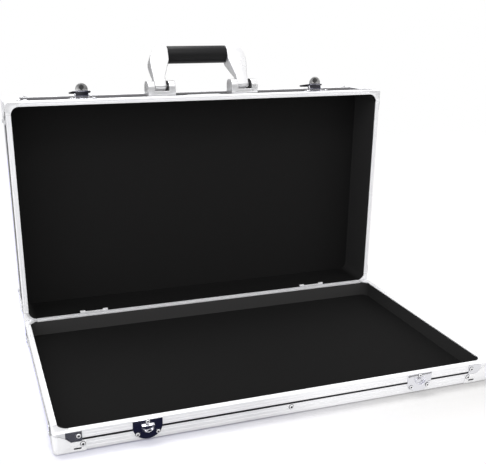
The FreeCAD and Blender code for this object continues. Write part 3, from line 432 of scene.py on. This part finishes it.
def drawn_aluminium(name, along, seam=False):
    """Satin aluminium with fine lines along the bar, brighter where it is rubbed, with painted shade at the
    seam.
    """
    material, tree, shader = new_material(name)
    stretch = [LINES_ACROSS] * 3
    stretch[along] = LINES_ALONG
    lines = object_noise(tree, 1.0, stretch=stretch)
    wear = placed(tree, EDGE_WEAR, Radius=0.0005, Breakup=120)
    rubbed = maths(tree, "MULTIPLY_ADD", placed(tree, SMUDGES, Scale=11), PATCHES_RUBBED, wear)
    colour = mixed(tree, rubbed, ANODISED, RUBBED_ALUMINIUM)
    # Painted shade: a dark band on the bars at the heights in SEAM.
    if seam:
        place = node_of(tree, "ShaderNodeTexCoord")
        split = node_of(tree, "ShaderNodeSeparateXYZ")
        feed(tree, place.outputs["Object"], split.inputs[0])
        above = ramp(tree, split.outputs["Z"], SEAM[0] - SEAM_SOFTNESS, SEAM[0])
        below = ramp(tree, split.outputs["Z"], SEAM[1] + SEAM_SOFTNESS, SEAM[1])
        colour = mixed(tree, maths(tree, "MULTIPLY", above, below), colour, SEAM_PAINTED_SHADE)
    feed(tree, colour, shader.inputs["Base Color"])
    shader.inputs["Metallic"].default_value = 0.25
    feed(tree, ramp(tree, lines, *LINE_CONTRAST, *ALUMINIUM_ROUGHNESS), shader.inputs["Roughness"])
    bump(tree, lines, LINE_STRENGTH, LINE_DEPTH, shader)
    return material


EDGE_WEAR = edge_wear_group()
paint(["tray_front_rim", "tray_back_rim", "tray_long_edges"],
      drawn_aluminium("tray_aluminium_x", along=0, seam=True))
paint(["tray_left_rim", "tray_right_rim", "tray_short_edges"],
      drawn_aluminium("tray_aluminium_y", along=1, seam=True))
paint(["lid_front_rim", "lid_back_rim", "lid_long_edges"], drawn_aluminium("aluminium_along_x", along=0))
paint(["lid_corner_posts"], drawn_aluminium("aluminium_along_y", along=1))
paint(["lid_left_rim", "lid_right_rim", "lid_short_edges"], drawn_aluminium("aluminium_along_z", along=2))


# Corner metal: pressed caps over the outer corners, and brackets that close the corners of the rims.
# Plated steel with edges rounded by the press. The brackets' legs are as bright as mirrors, and
# their tops and the bends round the corners take a paler, softer chrome as a painted highlight.

RUBBED_SHARE = 0.25
RUBBED_LIGHTER = 1.15
ROUGHER_IN_PATCHES = 0.06
MERGE_WITHIN = 0.000002
FLAT_WITHIN = math.radians(1)
SHARP_EDGE = math.radians(32)
SMOOTH_EDGE = math.radians(35)
CORNER_METAL_EDGE = 0.00025
FACING_OUT = 0.6
BEND_REACH = 0.0145


def plated(name, colour, roughness, metallic=1.0, worn=None):
    """Plated metal: lighter, or of the worn colour, where hands and edges rub it."""
    material, tree, shader = new_material(name)
    patches = placed(tree, SMUDGES, Scale=30)
    wear = placed(tree, EDGE_WEAR, Radius=0.0006, Breakup=260)
    rubbed = maths(tree, "MULTIPLY_ADD", patches, RUBBED_SHARE, wear)
    lighter = worn or tuple(min(1, part * RUBBED_LIGHTER) for part in colour)
    feed(tree, mixed(tree, rubbed, colour, lighter), shader.inputs["Base Color"])
    shader.inputs["Metallic"].default_value = metallic
    feed(tree, ramp(tree, patches, 0, 1, roughness, roughness + ROUGHER_IN_PATCHES),
         shader.inputs["Roughness"])
    return material


body_of = {node: body for body, names in frame["record"]["behaviour"]["bodies"].items() for node in names}


def select_only(piece):
    """Makes the piece the only one that operators act on."""
    bpy.ops.object.select_all(action="DESELECT")
    bpy.context.view_layer.objects.active = piece
    piece.select_set(True)


def merged_copy(node, material):
    """A copy of a CAD node with its loose triangles joined into faces."""
    piece = bpy.data.objects.new(node + "_finished", nodes[node].data.copy())
    bpy.context.scene.collection.objects.link(piece)
    select_only(piece)
    bpy.ops.object.mode_set(mode="EDIT")
    bpy.ops.mesh.select_all(action="SELECT")
    bpy.ops.mesh.remove_doubles(threshold=MERGE_WITHIN)
    bpy.ops.mesh.dissolve_limited(angle_limit=FLAT_WITHIN)
    bpy.ops.object.mode_set(mode="OBJECT")
    piece.data.materials.clear()
    piece.data.materials.append(material)
    return piece


def stands_for(piece, node):
    """The piece replaces the CAD node in looks and moves with it."""
    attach(piece, body_of[node])
    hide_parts(node)


def rounded_copy(node, edge, material, segments=2):
    """A finished copy of a CAD node with its edges rounded."""
    piece = merged_copy(node, material)
    rounding = piece.modifiers.new("rounding", "BEVEL")
    rounding.width = edge
    rounding.segments = segments
    rounding.limit_method = "ANGLE"
    rounding.angle_limit = SHARP_EDGE
    rounding.miter_outer = "MITER_ARC"
    bpy.ops.object.modifier_apply(modifier="rounding")
    bpy.ops.object.shade_smooth_by_angle(angle=SMOOTH_EDGE)
    stands_for(piece, node)
    return piece


def refinish(piece, material, chosen):
    """Gives the faces that are chosen another material."""
    piece.data.materials.append(material)
    for face in piece.data.polygons:
        if chosen(face):
            face.material_index = len(piece.data.materials) - 1


def paint_bend_highlight(piece, facing, material):
    """Paints a highlight on the metal round the four corners of a rim, which faces this way, by giving it
    another material.
    """
    spots = [vertex.co for vertex in piece.data.vertices]
    level = [axis for axis in range(3) if abs(facing[axis]) < 0.5]
    ends = {axis: (min(spot[axis] for spot in spots), max(spot[axis] for spot in spots)) for axis in level}
    select_only(piece)
    bpy.ops.object.mode_set(mode="EDIT")
    for axis in level:
        along = Vector([float(axis == other) for other in range(3)])
        for cut in (ends[axis][0] + BEND_REACH, ends[axis][1] - BEND_REACH):
            bpy.ops.mesh.select_all(action="SELECT")
            bpy.ops.mesh.bisect(plane_co=along * cut, plane_no=along)
    bpy.ops.object.mode_set(mode="OBJECT")
    refinish(piece, material, lambda face: all(
        min(abs(face.center[axis] - end) for end in ends[axis]) < BEND_REACH for axis in level))


chrome = plated("bright_chrome", (0.88, 0.88, 0.90), roughness=0.16, metallic=0.4)
pressed_steel = plated("pressed_steel", (0.90, 0.90, 0.91), roughness=0.3, metallic=0.1,
                       worn=(0.55, 0.55, 0.57))
mirror_chrome = plated("mirror_chrome", (0.80, 0.80, 0.83), roughness=0.12, metallic=0.92,
                       worn=(0.42, 0.42, 0.44))
for half, facing in (("tray", Vector((0, 0, 1))), ("lid", Vector((0, -1, 0)))):
    rounded_copy(half + "_corner_caps", CORNER_METAL_EDGE, pressed_steel)
    bracket = rounded_copy(half + "_rim_brackets", CORNER_METAL_EDGE, mirror_chrome)
    # Painted highlight: the brackets' tops and the bends round the corners take the paler chrome.
    refinish(bracket, chrome, lambda face: face.normal.dot(facing) > FACING_OUT)
    paint_bend_highlight(bracket, facing, chrome)


# The slot pressed into each leg of the caps shows a dark hollow behind the metal. Its darkness is
# painted shade: a thin dark plate with soft edges is set just inside each slot, two to a corner.

SLOT_SHADE_PLATE = (0.011, 0.004, 0.0003)
SLOT_SHADE_PLATE_EDGE = 0.0001
SLOT_FROM_CORNER = 0.028
SLOT_FROM_FOOT = 0.0054
SLOT_DEPTH = 0.0009

# Painted shade: one dark material stands for the shade in the cap slots, the rivets' hollows, a ring round
# each rivet's foot and between the handle housings' cheeks.
painted_dark_shade = plated("painted_dark_shade", (0.02, 0.02, 0.022), roughness=0.5, metallic=0.0,
                     worn=(0.03, 0.03, 0.03))
joints = {joint["name"]: joint for joint in frame["record"]["behaviour"]["joints"]}
hinge = joints["lid_hinge"]
pin = Vector(hinge["pos_m"])
lid_shut = (Matrix.Translation(pin)
            @ Matrix.Rotation(math.radians(hinge["range_deg"][0]), 4, Vector(hinge["axis"]))
            @ Matrix.Translation(-pin))


def slot_shade_plates(half, to_shut):
    """The painted shade plates behind the slots of one half's caps. They are placed as if the case were
    shut.
    """
    spots = [to_shut @ vertex.co for vertex in nodes[half + "_corner_caps"].data.vertices]
    low = Vector([min(spot[axis] for spot in spots) for axis in range(3)])
    high = Vector([max(spot[axis] for spot in spots) for axis in range(3)])
    height = low.z + SLOT_FROM_FOOT if half == "tray" else high.z - SLOT_FROM_FOOT
    floors = []
    for sign_x, end_x in ((-1, low.x), (1, high.x)):
        for sign_y, end_y in ((-1, low.y), (1, high.y)):
            inward = Vector((-sign_x, -sign_y, 0))
            for along, deep in ((0, 1), (1, 0)):
                spot = Vector((end_x, end_y, height))
                spot[along] += inward[along] * SLOT_FROM_CORNER
                spot[deep] += inward[deep] * SLOT_DEPTH
                outward = Vector((0, 0, 0))
                outward[deep] = -inward[deep]
                bpy.ops.object.select_all(action="DESELECT")
                bpy.ops.mesh.primitive_cube_add(size=1)
                floor = bpy.context.object
                floor.data.transform(to_shut.inverted() @ Matrix.Translation(spot)
                                     @ outward.to_track_quat("Z", "Y").to_matrix().to_4x4()
                                     @ Matrix.Diagonal((*SLOT_SHADE_PLATE, 1)) @ Matrix.Translation((0, 0, -0.5)))
                floors.append(floor)
    for floor in floors:
        floor.select_set(True)
    bpy.ops.object.join()
    piece = bpy.context.object
    piece.name = half + "_cap_slot_shade_plates"
    edges = piece.modifiers.new("edges", "BEVEL")
    edges.width = SLOT_SHADE_PLATE_EDGE
    edges.segments = 2
    bpy.ops.object.modifier_apply(modifier="edges")
    piece.data.materials.append(painted_dark_shade)
    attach(piece, half)


slot_shade_plates("tray", Matrix.Identity(4))
slot_shade_plates("lid", lid_shut)


# Rivets: semi-tubular heads of bright steel, rounded at the rim. The hollow of the tube in the middle
# is painted dark as painted shade, and a thin ring of painted shade lies round the foot. One head is
# modelled at a radius of 1 and set on each plain head of the CAD nodes at its size, the small ones a
# little fuller, as in the photo.

HEAD_SIDES = 28
HEAD_RISE = 0.45
HEAD_TOP_FACES_UP = 0.9
HEAD_ROUNDING = 0.28
HOLLOW_RADIUS = 0.5
HOLLOW_TAPER = 0.175
HOLLOW_DEPTH = 0.3
HEAD_SMOOTH = math.radians(50)
SHADE_RING_RADIUS = 1.2
SHADE_RING_RISE = 0.06
SMALL_HEAD = 0.0025
FULLER = 1.3

bpy.ops.object.select_all(action="DESELECT")
bpy.ops.mesh.primitive_cylinder_add(vertices=HEAD_SIDES, radius=1, depth=HEAD_RISE,
                                    location=(0, 0, HEAD_RISE / 2))
pattern = bpy.context.object
pattern.name = "rivet_pattern"
bpy.ops.object.transform_apply(location=True)
pattern.data.materials.append(chrome)
pattern.data.materials.append(painted_dark_shade)
bpy.ops.object.mode_set(mode="EDIT")
bpy.ops.mesh.select_mode(type="FACE")
bpy.ops.mesh.select_all(action="DESELECT")
bpy.ops.object.mode_set(mode="OBJECT")
for face in pattern.data.polygons:
    face.select = face.normal.z > HEAD_TOP_FACES_UP
bpy.ops.object.mode_set(mode="EDIT")
bpy.ops.mesh.inset(thickness=1 - HOLLOW_RADIUS)
# Painted shade: the hollow takes the dark material.
pattern.active_material_index = 1
bpy.ops.object.material_slot_assign()
bpy.ops.mesh.inset(thickness=HOLLOW_TAPER, depth=-HOLLOW_DEPTH)
bpy.ops.object.mode_set(mode="OBJECT")
rim = pattern.modifiers.new("dome", "BEVEL")
rim.width = HEAD_ROUNDING
rim.segments = 5
rim.limit_method = "ANGLE"
rim.angle_limit = math.radians(60)
bpy.ops.object.modifier_apply(modifier="dome")
# Painted shade: a thin dark ring round the foot of the head.
bpy.ops.mesh.primitive_cylinder_add(vertices=HEAD_SIDES, radius=SHADE_RING_RADIUS, depth=SHADE_RING_RISE)
shade_ring = bpy.context.object
shade_ring.data.materials.append(painted_dark_shade)
pattern.select_set(True)
bpy.context.view_layer.objects.active = pattern
bpy.ops.object.join()
bpy.ops.object.shade_smooth_by_angle(angle=HEAD_SMOOTH)


def seats_of(node):
    """Where each plain head of a node sits: the middle of its foot, the way it faces and its radius."""
    merged_copy(node, chrome)
    bpy.ops.object.mode_set(mode="EDIT")
    bpy.ops.mesh.separate(type="LOOSE")
    bpy.ops.object.mode_set(mode="OBJECT")
    heads = list(bpy.context.selected_objects)
    seats = []
    for head in heads:
        foot = max(head.data.polygons, key=lambda face: face.area)
        seats.append((foot.center.copy(), -foot.normal, math.sqrt(foot.area / math.pi)))
    for head in heads:
        bpy.data.objects.remove(head)
    return seats


def set_rivets(node):
    """One object with a finished rivet on each seat of the node."""
    heads = []
    for spot, facing, radius in seats_of(node):
        radius *= FULLER if radius < SMALL_HEAD else 1
        shape = pattern.data.copy()
        shape.transform(Matrix.Translation(spot) @ facing.to_track_quat("Z", "X").to_matrix().to_4x4()
                        @ Matrix.Scale(radius, 4))
        head = bpy.data.objects.new(node + "_finished", shape)
        bpy.context.scene.collection.objects.link(head)
        heads.append(head)
    select_only(heads[0])
    for head in heads:
        head.select_set(True)
    bpy.ops.object.join()
    stands_for(heads[0], node)


set_rivets("tray_rivets")
set_rivets("lid_rivets")
bpy.data.objects.remove(pattern)


# Hinges: two pressed leaves of satin nickel, riveted to the back of the halves and rolled round a
# plain steel pin, and a small pressed bracket on the lid's rim that stops it when it stands upright.

LEAF_EDGE = 0.0002
STOP_EDGE = 0.0003

nickel = plated("satin_nickel", (0.55, 0.55, 0.58), roughness=0.24)
steel = plated("plain_steel", (0.5, 0.5, 0.52), roughness=0.3)
for side in ("left", "right"):
    rounded_copy(side + "_hinge_lower_leaf", LEAF_EDGE, nickel)
    rounded_copy(side + "_hinge_upper_leaf", LEAF_EDGE, nickel)
rounded_copy("hinge_stops", STOP_EDGE, pressed_steel)
paint(["hinge_pins"], steel)


# Keepers: a mirror bright catch plate on the front of the tray with a raised collar for the latch's
# bail. Each is pressed from one piece, so every edge is rounded and catches the light.

KEEPER_EDGE = 0.00055

keeper_chrome = plated("keeper_chrome", (0.80, 0.80, 0.84), roughness=0.1)
for side in ("left", "right"):
    rounded_copy(side + "_keeper", KEEPER_EDGE, keeper_chrome, segments=3)


# Latches: a plated base with two ears is riveted to the lid. A half round lever of brushed nickel
# turns in the ears and carries the lock plug, and a dark wire bail hangs in the lever.

BASE_EDGE = 0.0004
LEVER_EDGE = 0.0003
PLUG_EDGE = 0.0002
WIRE_SMOOTH = math.radians(50)
BARREL_REACH = 0.0078

# The dark chrome's near white worn colour is partly wear and partly a painted highlight on its edges.
dark_chrome = plated("dark_chrome", (0.05, 0.05, 0.075), roughness=0.12, worn=(0.9, 0.9, 0.95))
black_wire = plated("black_wire", (0.015, 0.015, 0.02), roughness=0.2, worn=(0.03, 0.03, 0.035))
brushed_nickel = plated("brushed_nickel", (0.42, 0.42, 0.42), roughness=0.3)
dull_steel = plated("dull_steel", (0.10, 0.10, 0.10), roughness=0.35)
for side in ("left", "right"):
    rounded_copy(side + "_latch_base", BASE_EDGE, keeper_chrome)
    lever = rounded_copy(side + "_latch_lever", LEVER_EDGE, brushed_nickel)
    pivot = Vector(joints[side + "_latch_pivot"]["pos_m"])
    refinish(lever, dark_chrome, lambda face: (face.center - pivot).yz.length < BARREL_REACH)
    rounded_copy(side + "_lock_plug", PLUG_EDGE, dull_steel)
    bail = merged_copy(side + "_latch_bail", black_wire)
    bpy.ops.object.shade_smooth_by_angle(angle=WIRE_SMOOTH)
    stands_for(bail, side + "_latch_bail")
paint(["lever_pins"], steel)


# Handle: two cast arms turn on pins between the cheeks of their housings, all bright chromed, with
# painted shade on the inner faces of the cheeks.
# They hold a steel rod in a moulded black vinyl sleeve, and a plain plate lies on the lid under it.

HOUSING_EDGE = 0.0009
ARM_EDGE = 0.002
PLATE_EDGE = 0.0002
GRIP_EDGE = 0.0004
CHEEKS_WITHIN = 0.0113
CHEEK_FACES_SIDEWAYS = 0.5
VINYL_GRAIN_PER_METRE = 1100
VINYL_GROUND = (0.006, 0.006, 0.0065)
VINYL_GRAIN = (0.011, 0.011, 0.0115)
VINYL_GRAIN_DEPTH = 0.0002
VINYL_GRAIN_STRENGTH = 0.2
VINYL_CONTRAST = (0.3, 0.7)
VINYL_ROUGHNESS = (0.40, 0.50)

cast_chrome = plated("cast_chrome", (0.80, 0.80, 0.81), roughness=0.26, metallic=0.7,
                     worn=(0.5, 0.5, 0.52))
for side in ("left", "right"):
    housing = rounded_copy(side + "_handle_bracket", HOUSING_EDGE, cast_chrome, segments=3)
    middle = sum(vertex.co.x for vertex in housing.data.vertices) / len(housing.data.vertices)
    # Painted shade: the inner faces of the cheeks take the dark material.
    refinish(housing, painted_dark_shade, lambda face: (abs(face.center.x - middle) < CHEEKS_WITHIN
                                                 and abs(face.normal.x) > CHEEK_FACES_SIDEWAYS))
    rounded_copy(side + "_handle_arm", ARM_EDGE, cast_chrome, segments=4)
rounded_copy("handle_plate", PLATE_EDGE, chrome)
paint(["handle_pins", "handle_core"], steel)


def vinyl():
    """Black vinyl with a fine moulded grain."""
    material, tree, shader = new_material("black_vinyl")
    grain = object_noise(tree, VINYL_GRAIN_PER_METRE, detail=3)
    feed(tree, mixed(tree, grain, VINYL_GROUND, VINYL_GRAIN), shader.inputs["Base Color"])
    feed(tree, ramp(tree, grain, *VINYL_CONTRAST, *VINYL_ROUGHNESS), shader.inputs["Roughness"])
    shader.inputs["Specular IOR Level"].default_value = 0.15
    bump(tree, grain, VINYL_GRAIN_STRENGTH, VINYL_GRAIN_DEPTH, shader)
    return material


rounded_copy("handle_grip", GRIP_EDGE, vinyl())
